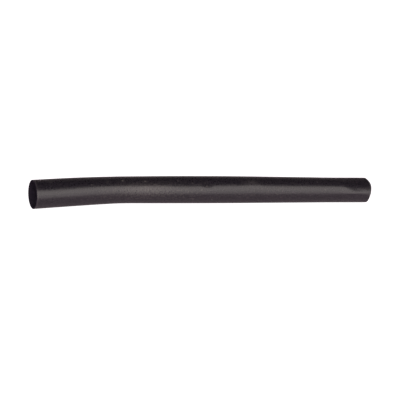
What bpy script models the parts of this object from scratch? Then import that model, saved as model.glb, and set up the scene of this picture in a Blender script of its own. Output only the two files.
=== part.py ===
"""Heat shrink tube: a cut length of thin black polyolefin sleeve, as it is sold, lying on a floor.

Units are metres and +Z is up. The tube lies along X with its bow flat on the floor. A place along the
tube is its distance from the left end, measured on the centre line. An angle round the tube starts at
the side that faces +Y and goes up over the top, so 90 degrees is the top and 180 degrees the front.
"""

import math

import bmesh
import bpy
from mathutils import Matrix, Vector

# The stock: 3/8 inch heat shrink tube before it is shrunk, cut to 6 inches.
LENGTH = 0.1524
OUTSIDE_DIAMETER = 0.0112
WALL = 0.0004

# The bow that storage left in it: a soft sweep over the first third, and a quicker bend within it.
SWEEP_TURN = math.radians(2.73)
SWEEP_LENGTH = 0.0512
BEND_TURN = math.radians(3.86)
BEND_PLACE = 0.0349
BEND_LENGTH = 0.0124

# Where the section is slightly oval: share of the radius taken off the thin way, place along the
# tube, and spread along it. A share under zero makes the section oval the other way.
OVALS = (
    (0.029, 0.0359, 0.0141),
    (-0.024, 0.0848, 0.0245),
    (0.006, 0.1336, 0.0073),
)
# The thin way of each oval leans back from upright by this angle.
OVAL_LEAN = math.radians(30)

# The flat that a thumb left on the upper front, close to the right end. It fades as a parabola over its
# reach, keeps a share of the round tube's curve, and meets the round tube in a slightly soft crease.
FLAT_DEPTH = 0.000649
FLAT_FROM_END = 0.00381
FLAT_ANGLE = math.radians(111.8)
FLAT_REACH = 0.01107
FLAT_CURVE = 0.563
FLAT_WIDEST = math.radians(80)
CREASE = 0.000051

# The ridge that stands up below the flat, and the dent in the right lip: depth, which is under zero for
# the ridge, distance from the right end, angle round the tube, length and width.
DENTS = (
    (-0.000255, 0.0098, math.radians(164), 0.00425, 0.0010),
    (0.000246, 0.00064, math.radians(142), 0.00177, 0.0033),
)

# The right mouth is squeezed to a faint oval that fades inwards: a share of the radius, the angle that
# is pressed in most, and the spread along the tube.
SQUEEZE = 0.019
SQUEEZE_ANGLE = math.radians(110.5)
SQUEEZE_LENGTH = 0.0103

# How finely the surface is cut into flats: sides round the tube, and the steps between rings along
# it, which are short over the last stretch before the right end, where the marks are.
SIDES = 36
RING_STEP = 0.0050
FINE_STEP = 0.0013
FINE_LENGTH = 0.0160

# The colour is black with a trace of violet, given as linear light.
POLYOLEFIN_COLOUR = (0.0116, 0.0091, 0.0123, 1.0)
POLYOLEFIN_ROUGHNESS = 0.42

RADIUS = OUTSIDE_DIAMETER / 2


def smooth_step(share):
    """A soft rise from 0 to 1 as the share goes from 0 to 1, level at both ends."""
    share = min(max(share, 0.0), 1.0)
    return share * share * (3 - 2 * share)


def bump(distance, spread):
    """A soft bell: 1 in the middle, and nearly 0 at twice the spread."""
    return math.exp(-((distance / spread) ** 2))


def heading(place):
    """The way the centre line points at this place, as its angle from +X towards +Y."""
    swept = smooth_step(place / SWEEP_LENGTH)
    bent = smooth_step((place - BEND_PLACE) / BEND_LENGTH + 0.5)
    return SWEEP_TURN * (1 - swept) + BEND_TURN * (1 - bent)


def centre_lines(places):
    """The centre line's point at each place, found by walking along it in short straight steps."""
    steps_per_ring = 8
    point = Vector((0.0, 0.0, 0.0))
    points = [point.copy()]
    for start, end in zip(places, places[1:]):
        step = (end - start) / steps_per_ring
        for index in range(steps_per_ring):
            turn = heading(start + (index + 0.5) * step)
            point += Vector((math.cos(turn), math.sin(turn), 0.0)) * step
        points.append(point.copy())
    return points


def from_angle(angle, middle):
    """How far round the tube an angle is from a middle one, between minus and plus half a turn."""
    return (angle - middle + math.pi) % math.tau - math.pi


def flattened(place, angle):
    """How far the flat lies under the round tube here."""
    from_middle = LENGTH - FLAT_FROM_END - place
    level = RADIUS - FLAT_DEPTH * (1 - (from_middle / FLAT_REACH) ** 2)
    around = min(abs(from_angle(angle, FLAT_ANGLE)) * FLAT_CURVE, FLAT_WIDEST)
    return CREASE * math.log1p(math.exp((RADIUS - level / math.cos(around)) / CREASE))


def pressed_in(place, angle):
    """How far the marks near the right end push the surface towards the centre line."""
    from_end = LENGTH - place
    depth = SQUEEZE * RADIUS * bump(from_end, SQUEEZE_LENGTH) * math.cos(2 * (angle - SQUEEZE_ANGLE))
    for dent, middle, middle_angle, length, width in DENTS:
        around = RADIUS * from_angle(angle, middle_angle)
        depth += dent * bump(from_end - middle, length) * bump(around, width)
    return depth + flattened(place, angle)


def oval_point(place, angle):
    """A point of the unmarked surface, as how far it lies to the +Y side of the centre line and above it."""
    flat = sum(share * bump(place - middle, spread) for share, middle, spread in OVALS)
    turned = angle + OVAL_LEAN
    wide = RADIUS * (1 + flat) * math.cos(turned)
    thin = RADIUS * (1 - flat) * math.sin(turned)
    side = wide * math.cos(OVAL_LEAN) + thin * math.sin(OVAL_LEAN)
    high = thin * math.cos(OVAL_LEAN) - wide * math.sin(OVAL_LEAN)
    return side, high


def even_places(start, end, step):
    """Places from start towards end, evenly spaced and no further apart than the step, end left out."""
    count = math.ceil((end - start) / step)
    return [start + (end - start) * index / count for index in range(count)]


def ring_places():
    """The place of each ring of corners, from the left end to the right."""
    fine_start = LENGTH - FINE_LENGTH
    return even_places(0.0, fine_start, RING_STEP) + even_places(fine_start, LENGTH, FINE_STEP) + [LENGTH]


def open_tube():
    """The outer surface: an open cylinder cut into rings, then bent, squeezed and marked."""
    places = ring_places()
    side_down = Matrix.Rotation(math.pi / SIDES, 4, "Z")
    surface = bmesh.new()
    bmesh.ops.create_cone(
        surface,
        cap_ends=False,
        segments=SIDES,
        radius1=RADIUS,
        radius2=RADIUS,
        depth=LENGTH,
        matrix=Matrix.Translation((0.0, 0.0, LENGTH / 2)) @ side_down,
    )
    for place in places[1:-1]:
        everything = surface.verts[:] + surface.edges[:] + surface.faces[:]
        bmesh.ops.bisect_plane(surface, geom=everything, plane_co=(0, 0, place), plane_no=(0, 0, 1))
    corners = sorted(surface.verts, key=lambda corner: corner.co.z)
    for index, (place, centre) in enumerate(zip(places, centre_lines(places))):
        ring = corners[index * SIDES : (index + 1) * SIDES]
        angles = [math.atan2(corner.co.y, corner.co.x) % math.tau for corner in ring]
        floor = min(oval_point(place, angle)[1] for angle in angles)
        turn = heading(place)
        for corner, angle in zip(ring, angles):
            kept = 1 - pressed_in(place, angle) / RADIUS
            side, high = (kept * value for value in oval_point(place, angle))
            corner.co = centre + Vector((-math.sin(turn) * side, math.cos(turn) * side, high - floor))
    return surface


def move_to_floor(surface):
    """Puts the origin at the bottom centre of the tube's box."""
    spans = [(min(values), max(values)) for values in zip(*(corner.co for corner in surface.verts))]
    (left, right), (front, back), (bottom, _) = spans
    shift = Vector((-(left + right) / 2, -(front + back) / 2, -bottom))
    bmesh.ops.translate(surface, verts=surface.verts, vec=shift)


def black_polyolefin():
    """Extruded black polyolefin with a dull, slightly waxy skin."""
    material = bpy.data.materials.new("black_polyolefin")
    material.use_nodes = True
    shader = material.node_tree.nodes["Principled BSDF"]
    shader.inputs["Base Color"].default_value = POLYOLEFIN_COLOUR
    shader.inputs["Metallic"].default_value = 0.0
    shader.inputs["Roughness"].default_value = POLYOLEFIN_ROUGHNESS
    material.diffuse_color = POLYOLEFIN_COLOUR
    return material


def heat_shrink_tube(collection):
    """The whole tube: its outer surface, thickened inwards to the wall, with square cut ends."""
    surface = open_tube()
    move_to_floor(surface)
    mesh = bpy.data.meshes.new("heat_shrink_tube")
    surface.to_mesh(mesh)
    surface.free()
    mesh.materials.append(black_polyolefin())
    mesh.shade_smooth()
    tube = bpy.data.objects.new("heat_shrink_tube", mesh)
    collection.objects.link(tube)
    wall = tube.modifiers.new("wall", "SOLIDIFY")
    wall.thickness = WALL
    wall.offset = -1
    wall.use_even_offset = True
    wall.use_rim = True
    return tube


def main():
    for old in list(bpy.data.objects):
        bpy.data.objects.remove(old, do_unlink=True)
    collection = bpy.data.collections.new("heat_shrink_tube")
    bpy.context.scene.collection.children.link(collection)
    heat_shrink_tube(collection)


main()
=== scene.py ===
# %% [markdown]
# # A cut length of black heat shrink tube
# Heat shrink tube is a thin sleeve of black polyolefin. A machine squeezes it out as one endless round
# tube, stretches it, and cuts it to length. A plain cylinder has that shape, but a real piece shows more:
# it keeps a bow from the reel, its soft wall goes a little oval, fingers leave dimples in it, and its
# dull skin catches the light as one long soft band. So the tube is worked out here as one closed
# surface, and each of those small things is a term in its formula.

# %% Load the frame
import math

import bmesh
import bpy
import numpy as np
from mathutils import Matrix, Vector


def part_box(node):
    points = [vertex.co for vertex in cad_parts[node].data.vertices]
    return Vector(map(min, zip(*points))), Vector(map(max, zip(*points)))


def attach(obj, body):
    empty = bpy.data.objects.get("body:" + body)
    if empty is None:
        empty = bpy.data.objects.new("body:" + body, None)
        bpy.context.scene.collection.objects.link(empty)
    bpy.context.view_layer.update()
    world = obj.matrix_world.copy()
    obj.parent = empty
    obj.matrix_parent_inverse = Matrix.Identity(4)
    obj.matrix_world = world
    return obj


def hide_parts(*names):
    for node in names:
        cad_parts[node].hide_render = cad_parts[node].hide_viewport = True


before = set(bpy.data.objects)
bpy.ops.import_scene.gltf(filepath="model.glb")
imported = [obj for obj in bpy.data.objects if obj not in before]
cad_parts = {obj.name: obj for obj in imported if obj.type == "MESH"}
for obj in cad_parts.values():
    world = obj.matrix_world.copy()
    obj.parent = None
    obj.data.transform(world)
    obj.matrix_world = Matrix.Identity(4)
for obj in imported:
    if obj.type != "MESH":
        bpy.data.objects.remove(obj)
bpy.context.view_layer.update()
TUBE = "heat_shrink_tube"
tube_low, tube_high = (np.array(corner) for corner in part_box(TUBE))
print("The tube's box in millimetres:", np.round((tube_high - tube_low) * 1000, 2))

# %% [markdown]
# ## Sizes
# The sizes are the real ones: 3/8 inch tube before it is shrunk, cut to 6 inches. They are the same
# values that the solid model was built from, so the surface lies where the solid does. Lengths are
# written in millimetres and turned to metres once, which keeps them readable.

# %% Sizes of the stock
MM = 0.001
LENGTH = 152.4 * MM
RADIUS = 5.6 * MM
WALL = 0.4 * MM
print("Length over diameter:", round(LENGTH / (2 * RADIUS), 2))

# %% [markdown]
# ## The centre line
# Tube that has been wound on a reel stays bowed when it is cut. The bow lies flat on the floor, because
# that is how such a piece comes to rest. One way to bend a mesh is Blender's Simple Deform modifier,
# but its bend is the same all along. A heading that changes along the tube can bend anywhere: the
# centre line is what a pen would draw if it moved in small steps and turned by the heading.

# %% The bow
SWEEP_TURN = math.radians(2.73)
SWEEP_LENGTH = 51.2 * MM
BEND_TURN = math.radians(3.86)
BEND_PLACE = 34.9 * MM
BEND_LENGTH = 12.4 * MM
STATIONS = 3001
STATIONS_MARGIN = 2 * MM


def smooth_step(share):
    """A soft rise: 0 up to 0, 1 from 1 on, and three share squared minus two share cubed between."""
    share = np.clip(share, 0.0, 1.0)
    return share * share * (3.0 - 2.0 * share)


def bump(distance, spread):
    """A soft bell: e to the power of minus the square of distance over spread."""
    return np.exp(-((distance / spread) ** 2))


def heading(place):
    """The way the tube points at each place: the turn that is still to come, of the sweep and the bend."""
    swept = smooth_step(place / SWEEP_LENGTH)
    bent = smooth_step((place - BEND_PLACE) / BEND_LENGTH + 0.5)
    return SWEEP_TURN * (1.0 - swept) + BEND_TURN * (1.0 - bent)


def centre_line(place):
    """x and y at each place: the running sums of the heading's cosine and sine over short even steps."""
    stations = np.linspace(-STATIONS_MARGIN, LENGTH + STATIONS_MARGIN, STATIONS)
    step = stations[1] - stations[0]
    turns = heading(stations[:-1] + step / 2)
    x = np.concatenate([[0.0], np.cumsum(np.cos(turns))]) * step
    y = np.concatenate([[0.0], np.cumsum(np.sin(turns))]) * step
    return np.interp(place, stations, x), np.interp(place, stations, y)


x_ends, y_ends = centre_line(np.array([0.0, LENGTH]))
print("The left mouth lies", round((y_ends[1] - y_ends[0]) / MM, 2), "mm nearer than the right end")

# %% [markdown]
# ## The section
# A soft tube is never quite round. Where it lay under others, its section is an oval whose thin way
# leans back from upright. Each oval is a share of the radius that fades along the tube as a bell.

# %% Ovals
OVAL_LEAN = math.radians(30)
OVALS = (
    (0.029, 35.9 * MM, 14.1 * MM),
    (-0.024, 84.8 * MM, 24.5 * MM),
    (0.006, 133.6 * MM, 7.3 * MM),
)

# %% [markdown]
# ## Handling marks
# Fingers leave three kinds of mark, and together they make the long highlight wander. A dent is one
# bell along the tube times one bell round it, and one under zero is a slight rise. A flat is what a
# thumb leaves: the skin stands where the round tube would or where a nearly flat surface would,
# whichever is lower, so the flat ends in a crease. A squeezed mouth is an oval that fades inwards.
# Sculpting could give the same marks, but a formula keeps each one's place and depth in millimetres.

# %% Dents, the flat and the squeezed mouth
# Each dent: its depth, its place along the tube, its angle round it, its length and its width.
DENTS = {
    "finger near the left mouth": (0.10 * MM, 6.0 * MM, 121, 8.0 * MM, 2.5 * MM),
    "rise before the bend": (-0.10 * MM, 27.0 * MM, 121, 9.0 * MM, 2.4 * MM),
    "hollow before the pinch": (0.15 * MM, 63.0 * MM, 121, 8.0 * MM, 2.4 * MM),
    "pinch": (0.28 * MM, 72.3 * MM, 122, 2.2 * MM, 1.8 * MM),
    "rise beyond the pinch": (-0.17 * MM, 94.0 * MM, 122, 4.0 * MM, 2.4 * MM),
    "ridge below the flat": (-0.255 * MM, LENGTH - 9.8 * MM, 164, 4.25 * MM, 1.0 * MM),
    "dent in the right lip": (0.246 * MM, LENGTH - 0.64 * MM, 142, 1.77 * MM, 3.3 * MM),
}
FLAT_DEPTH = 0.649 * MM
FLAT_PLACE = LENGTH - 3.81 * MM
FLAT_ANGLE = math.radians(111.8)
FLAT_REACH = 11.07 * MM
FLAT_CURVE = 0.563
FLAT_WIDEST = math.radians(80)
CREASE = 0.051 * MM
SQUEEZE = 0.019
SQUEEZE_ANGLE = math.radians(110.5)
SQUEEZE_LENGTH = 10.3 * MM
# The steps that the skin's own directions are measured over.
SMALL_STEP = 0.05 * MM
SMALL_TURN = 0.001


def from_angle(angle, middle):
    """How far round an angle is from a middle one, between minus and plus half a turn."""
    return (angle - middle + math.pi) % math.tau - math.pi


def dented(place, angle):
    """The sum of the dents' bells."""
    depth = np.zeros(np.broadcast(place, angle).shape)
    for deep, middle, degrees, length, width in DENTS.values():
        around = RADIUS * from_angle(angle, math.radians(degrees))
        depth += deep * bump(place - middle, length) * bump(around, width)
    return depth


def flattened(place, angle):
    """How far the flat lies under the round skin. Its level is the radius less a depth that fades as a
    parabola along the tube, over the cosine of a share of the angle: a share of 1 would be a plane, and
    0 a round tube. Log of 1 plus e to the difference gives the greater of it and 0, with a soft corner."""
    level = RADIUS - FLAT_DEPTH * (1 - ((place - FLAT_PLACE) / FLAT_REACH) ** 2)
    around = np.clip(np.abs(from_angle(angle, FLAT_ANGLE)) * FLAT_CURVE, 0, FLAT_WIDEST)
    return CREASE * np.logaddexp(0, (RADIUS - level / np.cos(around)) / CREASE)


def pressed_in(place, angle):
    """How far the skin is pushed towards the centre by all the marks."""
    oval = SQUEEZE * RADIUS * bump(place - LENGTH, SQUEEZE_LENGTH) * np.cos(2 * (angle - SQUEEZE_ANGLE))
    return dented(place, angle) + flattened(place, angle) + oval


def outer_skin(place, angle):
    """Points of the skin, as (..., 3). An oval is drawn about the centre line, square to the heading:
    wide times cosine one way and thin times sine the other, leant back, and shrunk by the marks. The
    centre is as high as the oval reaches down, so the tube rests on the floor all along."""
    flat = sum(share * bump(place - middle, spread) for share, middle, spread in OVALS)
    wide, thin = RADIUS * (1 + flat), RADIUS * (1 - flat)
    across, up = wide * np.cos(angle + OVAL_LEAN), thin * np.sin(angle + OVAL_LEAN)
    kept = 1 - pressed_in(place, angle) / RADIUS
    side = (across * math.cos(OVAL_LEAN) + up * math.sin(OVAL_LEAN)) * kept
    high = (up * math.cos(OVAL_LEAN) - across * math.sin(OVAL_LEAN)) * kept
    reach_down = np.hypot(wide * math.sin(OVAL_LEAN), thin * math.cos(OVAL_LEAN))
    turn = heading(place)
    x, y = centre_line(place)
    return np.stack([x - np.sin(turn) * side, y + np.cos(turn) * side, high + reach_down], axis=-1)


def skin_frame(place, angle):
    """The skin's outward normal and its direction along the tube, from small steps both ways."""
    along = outer_skin(place + SMALL_STEP, angle) - outer_skin(place - SMALL_STEP, angle)
    around = outer_skin(place, angle + SMALL_TURN) - outer_skin(place, angle - SMALL_TURN)
    normal = np.cross(around, along)
    return (vector / np.linalg.norm(vector, axis=-1, keepdims=True) for vector in (normal, along))


# %% [markdown]
# ## One closed surface
# The wall could come from a Solidify modifier on an open skin. Here it is worked out instead, because
# the cut edge matters: a blade leaves it flat with two slightly rounded corners, and that thin line is
# what the eye reads as the thickness of the wall. The surface is a path carried round the tube. The
# path runs along the outside, over the right edge, back along the inside and over the left edge, so it
# closes on itself, and it closes round the tube as well. There are no seams, caps or poles.

# %% The path across the wall
COLUMNS = 144
OUTER_ROWS = 420
INNER_ROWS = 110
EDGE_ROWS = 9
EDGE_ROUND = 0.07 * MM


def wall_path():
    """Place along the tube and share of the wall's depth, for each row of the path. On an edge the share
    goes from 0 to 1 as (1 - cosine) / 2 and the place bulges out by the root of (1 - cosine to the 6)."""
    swing = np.linspace(0, math.pi, EDGE_ROWS + 2)[1:-1]
    share = (1 - np.cos(swing)) / 2
    bulge = EDGE_ROUND * np.sqrt(1 - np.cos(swing) ** 6)
    first, last = EDGE_ROUND, LENGTH - EDGE_ROUND
    outside, inside = np.linspace(first, last, OUTER_ROWS), np.linspace(last, first, INNER_ROWS)
    place = np.concatenate([outside, last + bulge, inside, first - bulge])
    depth = np.concatenate([np.zeros(OUTER_ROWS), share, np.ones(INNER_ROWS), 1 - share])
    return place, depth


path_place, path_depth = wall_path()
print("Rows of the path:", len(path_place), "and columns round the tube:", COLUMNS)

# %% [markdown]
# The points of all rows and columns are worked out at once as whole arrays. A row that lies on an edge
# starts from the skin's last ring and slides out along the tube. Hand shears never cut quite square, so
# towards each mouth the rows lean a little. The right cut also wavers: the blades squeezed the soft tube
# as they closed, and when it sprang back open, the edge was no longer a plane. It is drawn with one, two
# and three waves round the tube, the first of which is the lean. The tube is then moved as one, so that
# with square cuts its box would have the same middle and the same floor as the solid it stands for.

# %% The points
LEFT_LEAN = 0.17 * MM
CUT_FADE = 6 * MM
# The waves of the right cut: how many go round the tube, their height, and where one is highest.
RIGHT_WAVES = ((1, 0.07 * MM, 51), (2, 0.14 * MM, -70), (3, 0.28 * MM, 2))

angles = np.linspace(0, math.tau, COLUMNS, endpoint=False)[None, :]
square_place = np.clip(path_place, EDGE_ROUND, LENGTH - EDGE_ROUND)[:, None]
left_cut = LEFT_LEAN * np.sin(angles)
right_cut = sum(
    height * np.cos(count * (angles - math.radians(degrees))) for count, height, degrees in RIGHT_WAVES
)
skin_place = square_place + left_cut * bump(square_place, CUT_FADE)
skin_place = skin_place + right_cut * bump(LENGTH - square_place, CUT_FADE)
normals, alongs = skin_frame(skin_place, angles)
points = outer_skin(skin_place, angles)
points = points - normals * (WALL * path_depth)[:, None, None]
points = points + alongs * (path_place[:, None] - square_place)[..., None]

square_skin = outer_skin(square_place, angles)
own_low, own_high = square_skin.min(axis=(0, 1)), square_skin.max(axis=(0, 1))
shift = (tube_low + tube_high - own_low - own_high) / 2
shift[2] = tube_low[2] - own_low[2]
points = points + shift
print("With square cuts, the surface's box in millimetres:", np.round((own_high - own_low) / MM, 2))

# %% [markdown]
# ## From arrays to a mesh
# Blender's foreach_set copies a whole array into a mesh in one call. A vector for each point is stored
# beside the mesh: where the point would be if the tube were straight and round. Patterns in the
# material read that vector, so they follow the bow and close round the tube without a seam.

# %% The mesh
def closed_grid_faces(rows, columns):
    """The four corners of every face of a grid that closes on itself in both directions."""
    row, column = np.meshgrid(np.arange(rows), np.arange(columns), indexing="ij")
    next_row, next_column = (row + 1) % rows, (column + 1) % columns
    corners = [row * columns + column, row * columns + next_column]
    corners += [next_row * columns + next_column, next_row * columns + column]
    return np.stack(corners, axis=-1).reshape(-1, 4)


def mesh_from_grid(name, grid):
    """A smooth mesh of four-sided faces from a grid of points."""
    faces = closed_grid_faces(*grid.shape[:2])
    mesh = bpy.data.meshes.new(name)
    mesh.vertices.add(grid.shape[0] * grid.shape[1])
    mesh.vertices.foreach_set("co", grid.astype(np.float32).ravel())
    mesh.loops.add(faces.size)
    mesh.loops.foreach_set("vertex_index", faces.astype(np.int32).ravel())
    mesh.polygons.add(len(faces))
    mesh.polygons.foreach_set("loop_start", np.arange(0, faces.size, 4, dtype=np.int32))
    mesh.update(calc_edges=True)
    mesh.shade_smooth()
    return mesh


tube_mesh = mesh_from_grid("polyolefin_tube", points)
from_centre = RADIUS - WALL * path_depth[:, None]
straightened = np.stack(
    np.broadcast_arrays(path_place[:, None], from_centre * np.cos(angles), from_centre * np.sin(angles)),
    axis=-1,
)
stored = tube_mesh.attributes.new("straightened", "FLOAT_VECTOR", "POINT")
stored.data.foreach_set("vector", straightened.astype(np.float32).ravel())
tube = bpy.data.objects.new("polyolefin_tube", tube_mesh)
bpy.context.scene.collection.objects.link(tube)
print("Triangles:", 2 * len(tube_mesh.polygons))

# %% [markdown]
# ## Pale marks
# Black plastic shows everything that settles on it. A paler lip runs round both cuts, where the blade
# stressed the plastic, and it is also a painted highlight of the light that the cut rims catch. A patch
# in the dark band above the highlight is paler. A pale bloom lies on the part that was handled most, and
# it is also a painted highlight that makes one stretch of the band brighter. Fine dust lies there too,
# and a few larger flecks stand out. They are drawn as two numbers at each point: how pale the skin is,
# with these painted highlights, and how dusty.

# %% Where the skin is pale and where it is dusty
# Each fleck: its place along the tube in millimetres, its angle round it, and how pale it is.
FLECKS = (
    (6.0, 99, 0.3), (22.4, 122, 0.4), (29.1, 109, 0.3), (35.5, 106, 1.0), (45.0, 110, 0.8),
    (59.3, 108, 0.3), (65.4, 119, 0.3), (66.0, 191, 0.4), (69.3, 149, 0.4), (71.8, 133, 0.4),
    (74.5, 194, 0.3), (124.8, 110, 0.4), (128.1, 147, 0.3), (137.0, 147, 0.3), (138.5, 102, 0.4),
)
FLECK_SIZE = 0.28 * MM
# The paler lip at each cut is partly a painted highlight of the light that the cut rims catch.
LIP_WIDTH = 0.45 * MM
LIP_PALE_AND_PAINTED_HIGHLIGHT = 0.12
# Each patch: its place along the tube, its angle round it in degrees, its length and its width. The
# first one only makes the skin paler, in the dark band above the highlight.
TOP_PALE_PATCH = (92.5 * MM, 117, 3.0 * MM, 1.2 * MM)
TOP_PATCH_PALE = 0.10
# The bloom is partly a painted highlight: it makes one stretch of the highlight band brighter.
BLOOM_AND_HIGHLIGHT_PATCH = (44 * MM, 147, 12 * MM, 2.6 * MM)
BLOOM_AND_HIGHLIGHT_PALE = 0.14
DUSTY_PATCH = (48 * MM, 156, 22 * MM, 3.6 * MM)
FAINTLY_DUSTY_PATCH = (100 * MM, 150, 14 * MM, 3.6 * MM)
FAINT_DUST = 0.5
DUST_EVERYWHERE = 0.25


def patch(middle, degrees, length, width):
    """A bell along the tube times a bell round it, for every point of the grid."""
    around = RADIUS * from_angle(angles, math.radians(degrees))
    return bump(path_place[:, None] - middle, length) * bump(around, width)


from_cut = np.minimum(path_place, LENGTH - path_place)[:, None]
pale = LIP_PALE_AND_PAINTED_HIGHLIGHT * bump(from_cut, LIP_WIDTH) + TOP_PATCH_PALE * patch(*TOP_PALE_PATCH)
pale = pale + BLOOM_AND_HIGHLIGHT_PALE * patch(*BLOOM_AND_HIGHLIGHT_PATCH)
for place_mm, degrees, paleness in FLECKS:
    pale = pale + paleness * patch(place_mm * MM, degrees, FLECK_SIZE, FLECK_SIZE)
dusty = DUST_EVERYWHERE + patch(*DUSTY_PATCH) + FAINT_DUST * patch(*FAINTLY_DUSTY_PATCH)
for name, values in (("pale", pale), ("dusty", dusty)):
    shares = np.clip(np.broadcast_to(values, points.shape[:2]), 0, 1)
    stored = tube_mesh.attributes.new(name, "FLOAT", "POINT")
    stored.data.foreach_set("value", shares.astype(np.float32).ravel())
print("Flecks:", len(FLECKS))

# %% The tube stands for the solid
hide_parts(TUBE)
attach(tube, "root")

# %% [markdown]
# ## Two helpers for materials
# Colours are chosen as sRGB hex values, which is how a picture editor shows them, and Blender works in
# linear light, so one function turns them. Another adds a node with its settings and its links.

# %% Colour and node helpers
def colour(text):
    """Linear red, green, blue and an opacity of 1 from a hex colour such as #1C181D."""
    shares = [int(text[start:start + 2], 16) / 255 for start in (1, 3, 5)]
    linear = [share / 12.92 if share <= 0.04045 else ((share + 0.055) / 1.055) ** 2.4 for share in shares]
    return (*linear, 1.0)


def add_node(tree, kind, inputs=None, **settings):
    """Adds a node. Settings are its own properties. Inputs are by name or number: a socket of another
    node is linked, and anything else is set as a value."""
    node = tree.nodes.new(kind)
    for name, value in settings.items():
        setattr(node, name, value)
    for key, value in (inputs or {}).items():
        if isinstance(value, bpy.types.NodeSocket):
            tree.links.new(value, node.inputs[key])
        else:
            node.inputs[key].default_value = value
    return node


def new_material(name):
    """An empty node material, and its tree."""
    material = bpy.data.materials.new(name)
    material.use_nodes = True
    material.node_tree.nodes.clear()
    return material, material.node_tree


# %% [markdown]
# ## Extruded polyolefin
# The tube is cross-linked polyolefin filled with carbon black. Extruding leaves a dull, slightly waxy
# skin, so its reflections are blurred. The black is not neutral: it leans a little to violet. The skin
# has a fine grain, coarser here than the real one so that it shows. One noise gives the grain, and it
# drives three things at once, as it does on the real skin: a grain that stands up is paler, duller and
# catches the light at its own angle. Faint lines that the die drew run along the tube.

# %% The tube's material
POLYOLEFIN_BLACK = "#221D25"
POLYOLEFIN_GREY = "#2B2530"
DUST_BROWN = "#6A625C"
# The pale colour of the flecks, which also paints the highlights on the cut lips and the bloom.
FLECK_AND_HIGHLIGHT_PALE = "#A39C98"
GRAIN_SIZE = 0.60 * MM
GRAIN_HEIGHT = 0.009 * MM
DIE_LINE_WIDTH = 0.6 * MM
DIE_LINE_LENGTH = 40 * MM
DIE_LINE_HEIGHT = 0.004 * MM
# The noise values that count as no grain and as full grain, and those where dust starts and is full.
GRAIN_VALUES = (0.3, 0.7)
DUST_VALUES = (0.52, 0.75)
MOST_DUST = 0.8
# Plain polyolefin has an IOR of about 1.5. A higher one matches how brightly this skin shines.
POLYOLEFIN_IOR = 1.75
SMOOTHEST = 0.25
DULLEST = 0.37


def mix_colours(tree, share, first, second):
    """The colour that is the first where the share is 0 and the second where it is 1."""
    settings = {"Factor": share, "A": first, "B": second}
    return add_node(tree, "ShaderNodeMix", settings, data_type="RGBA").outputs["Result"]


def extruded_polyolefin():
    """Carbon-black polyolefin with a blurred sheen, grain, die lines, dust and pale marks, some painted
    highlights.
    """
    material, tree = new_material("extruded_polyolefin")
    place = add_node(tree, "ShaderNodeAttribute", attribute_name="straightened").outputs["Vector"]
    pale_here = add_node(tree, "ShaderNodeAttribute", attribute_name="pale").outputs["Fac"]
    dusty_here = add_node(tree, "ShaderNodeAttribute", attribute_name="dusty").outputs["Fac"]
    grain = add_node(
        tree,
        "ShaderNodeTexNoise",
        {"Vector": place, "Scale": 1 / GRAIN_SIZE, "Detail": 2.0, "Roughness": 0.6},
    ).outputs["Fac"]
    no_grain, full_grain = GRAIN_VALUES
    strong_grain = add_node(
        tree, "ShaderNodeMapRange", {"Value": grain, "From Min": no_grain, "From Max": full_grain}
    )
    drawn_out = add_node(
        tree,
        "ShaderNodeMapping",
        {"Vector": place, "Scale": (DIE_LINE_WIDTH / DIE_LINE_LENGTH, 1.0, 1.0)},
    )
    die_lines = add_node(
        tree,
        "ShaderNodeTexNoise",
        {"Vector": drawn_out.outputs["Vector"], "Scale": 1 / DIE_LINE_WIDTH, "Detail": 1.0},
    )
    no_dust, full_dust = DUST_VALUES
    dust_grains = add_node(
        tree,
        "ShaderNodeMapRange",
        {"Value": grain, "From Min": no_dust, "From Max": full_dust, "To Max": MOST_DUST},
    )
    dust = add_node(
        tree, "ShaderNodeMath", {0: dusty_here, 1: dust_grains.outputs["Result"]}, operation="MULTIPLY"
    )
    black = mix_colours(
        tree, strong_grain.outputs["Result"], colour(POLYOLEFIN_BLACK), colour(POLYOLEFIN_GREY)
    )
    dusted = mix_colours(tree, dust.outputs["Value"], black, colour(DUST_BROWN))
    skin = mix_colours(tree, pale_here, dusted, colour(FLECK_AND_HIGHLIGHT_PALE))
    roughness = add_node(
        tree,
        "ShaderNodeMapRange",
        {"Value": strong_grain.outputs["Result"], "To Min": SMOOTHEST, "To Max": DULLEST},
    )
    lines = add_node(
        tree, "ShaderNodeBump", {"Height": die_lines.outputs["Fac"], "Distance": DIE_LINE_HEIGHT}
    )
    relief = add_node(
        tree,
        "ShaderNodeBump",
        {"Height": grain, "Distance": GRAIN_HEIGHT, "Normal": lines.outputs["Normal"]},
    )
    shader = add_node(
        tree,
        "ShaderNodeBsdfPrincipled",
        {
            "Base Color": skin,
            "Roughness": roughness.outputs["Result"],
            "IOR": POLYOLEFIN_IOR,
            "Normal": relief.outputs["Normal"],
        },
    )
    add_node(tree, "ShaderNodeOutputMaterial", {"Surface": shader.outputs["BSDF"]})
    return material


tube_mesh.materials.append(extruded_polyolefin())
print("Material:", tube_mesh.materials[0].name)

# %% [markdown]
# ## The cut and the bore
# Only the outside was pressed smooth by the die. Shears leave the cut edge dull, and the inside of the
# tube is dull too, so looking into the mouth shows one even black. A second material gives that: fully
# rough and with hardly any reflection. Its black is lighter than the skin's, as painted light that stands
# in for the light that hardly reaches into the bore, and it covers the cut edges too.

# %% The material inside
# Lighter than the skin's black: painted light that stands in for the light that hardly reaches into the
# bore.
BORE_BLACK_WITH_PAINTED_LIGHT = "#3D3643"
BORE_ROUGHNESS = 0.9
BORE_SPECULAR = 0.05


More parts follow.
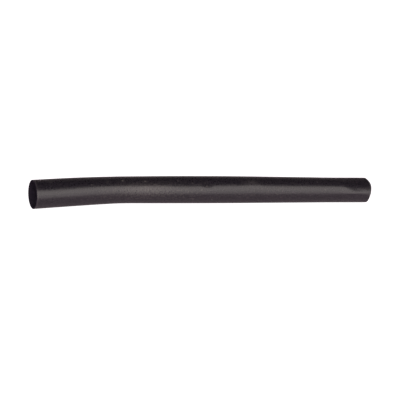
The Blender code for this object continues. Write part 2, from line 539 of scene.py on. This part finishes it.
def sheared_polyolefin():
    """The same polyolefin where no die smoothed it: matt all over, and lighter, as painted light."""
    material, tree = new_material("sheared_polyolefin")
    shader = add_node(
        tree,
        "ShaderNodeBsdfPrincipled",
        {
            "Base Color": colour(BORE_BLACK_WITH_PAINTED_LIGHT),
            "Roughness": BORE_ROUGHNESS,
            "Specular IOR Level": BORE_SPECULAR,
        },
    )
    add_node(tree, "ShaderNodeOutputMaterial", {"Surface": shader.outputs["BSDF"]})
    return material


tube_mesh.materials.append(sheared_polyolefin())
inside_row = np.arange(len(path_place)) >= OUTER_ROWS - 1
tube_mesh.polygons.foreach_set("material_index", np.repeat(inside_row, COLUMNS).astype(np.int32))
print("Faces in the mouths, bore and cut edges:", inside_row.sum() * COLUMNS)

# %% [markdown]
# ## The floor
# The tube lies on pale paper, which the lights reach and the tube's underside mirrors. A low screen of
# the same paper stands round it, so that a low view still ends in paper. In a catalogue picture the
# ground is then made pure white. That can be done at once: a Light Path node tells whether a ray comes
# straight from the camera, and only to such a ray the paper also glows.

# %% The paper
TABLE_RADIUS = 1.6
SCREEN_HEIGHT = 0.45
TABLE_SIDES = 96
TABLE_DROP = 0.02 * MM
PAPER_PALE = "#F2E6EF"
PAPER_GLOW = "#FFFFFF"


def whitened_paper():
    """Matt pale paper that glows for the camera's own rays alone."""
    material, tree = new_material("whitened_paper")
    ray = add_node(tree, "ShaderNodeLightPath")
    shader = add_node(
        tree,
        "ShaderNodeBsdfPrincipled",
        {
            "Base Color": colour(PAPER_PALE),
            "Roughness": 1.0,
            "Specular IOR Level": 0.0,
            "Emission Color": colour(PAPER_GLOW),
            "Emission Strength": ray.outputs["Is Camera Ray"],
        },
    )
    add_node(tree, "ShaderNodeOutputMaterial", {"Surface": shader.outputs["BSDF"]})
    return material


def light_table():
    """A round sheet on the floor, and an upright band that stands round its rim."""
    sheet = bmesh.new()
    bmesh.ops.create_circle(sheet, cap_ends=True, segments=TABLE_SIDES, radius=TABLE_RADIUS)
    bmesh.ops.create_cone(
        sheet,
        cap_ends=False,
        segments=TABLE_SIDES,
        radius1=TABLE_RADIUS,
        radius2=TABLE_RADIUS,
        depth=SCREEN_HEIGHT,
        matrix=Matrix.Translation((0.0, 0.0, SCREEN_HEIGHT / 2)),
    )
    bmesh.ops.translate(sheet, verts=sheet.verts, vec=(0.0, 0.0, -TABLE_DROP))
    mesh = bpy.data.meshes.new("light_table")
    sheet.to_mesh(mesh)
    sheet.free()
    mesh.materials.append(whitened_paper())
    return bpy.data.objects.new("light_table", mesh)


table = light_table()
bpy.context.scene.collection.objects.link(table)

# %% [markdown]
# ## The lights
# On a round black tube a light shows as a band that runs along it. Its place round the tube tells where
# the light stands. Two long softboxes run along the tube in front, and the upper edge of the band is the
# upper edge of the higher one. A narrow core before them makes one stretch of the band brighter. One
# softbox at the left lights the bore, and a weak warm one behind draws the rim. The room above is nearly
# dark, and that is the dark band along the top. A direction is given as an azimuth, from the front
# towards the right, and an elevation above the floor.

# %% Softboxes
# Each softbox: its azimuth and elevation in degrees, its distance, width and height in metres, its
# brightness, its tint, and how far along X the point lies that it faces.
SOFTBOXES = {
    "high_softbox": (0, 43.5, 0.80, 1.50, 0.57, 1.36, "#FFF6F2", 0.40),
    "low_softbox": (0, 12, 0.85, 1.50, 0.38, 1.04, "#FFF6F4", 0.40),
    "bright_core": (24, 36, 0.75, 0.07, 0.35, 0.40, "#FFF4EC", -0.040),
    "side_softbox": (-75, 20, 0.60, 0.50, 0.40, 1.6, "#FFFFFF", 0.0),
    "back_softbox": (165, 20, 0.90, 1.30, 0.40, 0.14, "#FFE8E4", 0.0),
}
ROOM_TINT = "#FFFFFF"
ROOM_BRIGHTNESS = 0.03


def direction(azimuth, elevation):
    """A unit vector from the tube towards a light or a camera."""
    flat, rise = math.radians(azimuth), math.radians(elevation)
    return Vector((math.sin(flat) * math.cos(rise), -math.cos(flat) * math.cos(rise), math.sin(rise)))


def softbox(name, azimuth, elevation, distance, width, height, brightness, tint, along):
    """A flat light that faces the tube's axis at a point so far along X. Its brightness is how it looks
    beside white paper, which is 1: a lamp's power in watts is that times pi times its area."""
    lamp = bpy.data.lights.new(name, "AREA")
    lamp.shape = "RECTANGLE"
    lamp.size, lamp.size_y = width, height
    lamp.energy = brightness * math.pi * width * height
    lamp.color = colour(tint)[:3]
    towards = direction(azimuth, elevation)
    holder = bpy.data.objects.new(name, lamp)
    centre = towards * distance + Vector((along, 0.0, 0.0))
    holder.matrix_world = Matrix.Translation(centre) @ towards.to_track_quat("Z", "Y").to_matrix().to_4x4()
    bpy.context.scene.collection.objects.link(holder)


for name, settings in SOFTBOXES.items():
    softbox(name, *settings)

world = bpy.data.worlds.new("dim_room")
world.use_nodes = True
background = world.node_tree.nodes["Background"]
background.inputs["Color"].default_value = colour(ROOM_TINT)
background.inputs["Strength"].default_value = ROOM_BRIGHTNESS
bpy.context.scene.world = world
print("Softboxes:", ", ".join(SOFTBOXES))

# %% [markdown]
# ## The camera
# The camera looks down at 30 degrees from the left of the front, and it is rolled, so that the tube,
# which recedes to the right, lies level in the picture. The lens comes from the picture's frame:
# a focal length in pixels, turned to millimetres by the sensor's width over the picture's width.

# %% The camera
PICTURE_WIDTH = 400
FOCAL_PIXELS = 820.6
SENSOR_WIDTH = 36.0
NEAREST_SEEN = 10 * MM
VIEW_AZIMUTH = -26.46
VIEW_ELEVATION = 30.0
VIEW_ROLL = math.radians(13.755)
VIEW_DISTANCE = 336.3 * MM
VIEW_TARGET = Vector((-7.98, -6.187, 5.575)) * MM

back = direction(VIEW_AZIMUTH, VIEW_ELEVATION)
azimuth = math.radians(VIEW_AZIMUTH)
level_right = Vector((math.cos(azimuth), math.sin(azimuth), 0.0))
level_up = back.cross(level_right)
right = level_right * math.cos(VIEW_ROLL) + level_up * math.sin(VIEW_ROLL)
up = level_up * math.cos(VIEW_ROLL) - level_right * math.sin(VIEW_ROLL)

lens = bpy.data.cameras.new("camera")
lens.sensor_width = SENSOR_WIDTH
lens.lens = FOCAL_PIXELS / PICTURE_WIDTH * SENSOR_WIDTH
lens.clip_start = NEAREST_SEEN
camera = bpy.data.objects.new("camera", lens)
turned = Matrix((right, up, back)).transposed().to_4x4()
camera.matrix_world = Matrix.Translation(VIEW_TARGET + back * VIEW_DISTANCE) @ turned
bpy.context.scene.collection.objects.link(camera)
bpy.context.scene.camera = camera
bpy.context.scene.view_settings.view_transform = "Standard"
print("Lens in millimetres:", round(lens.lens, 1))
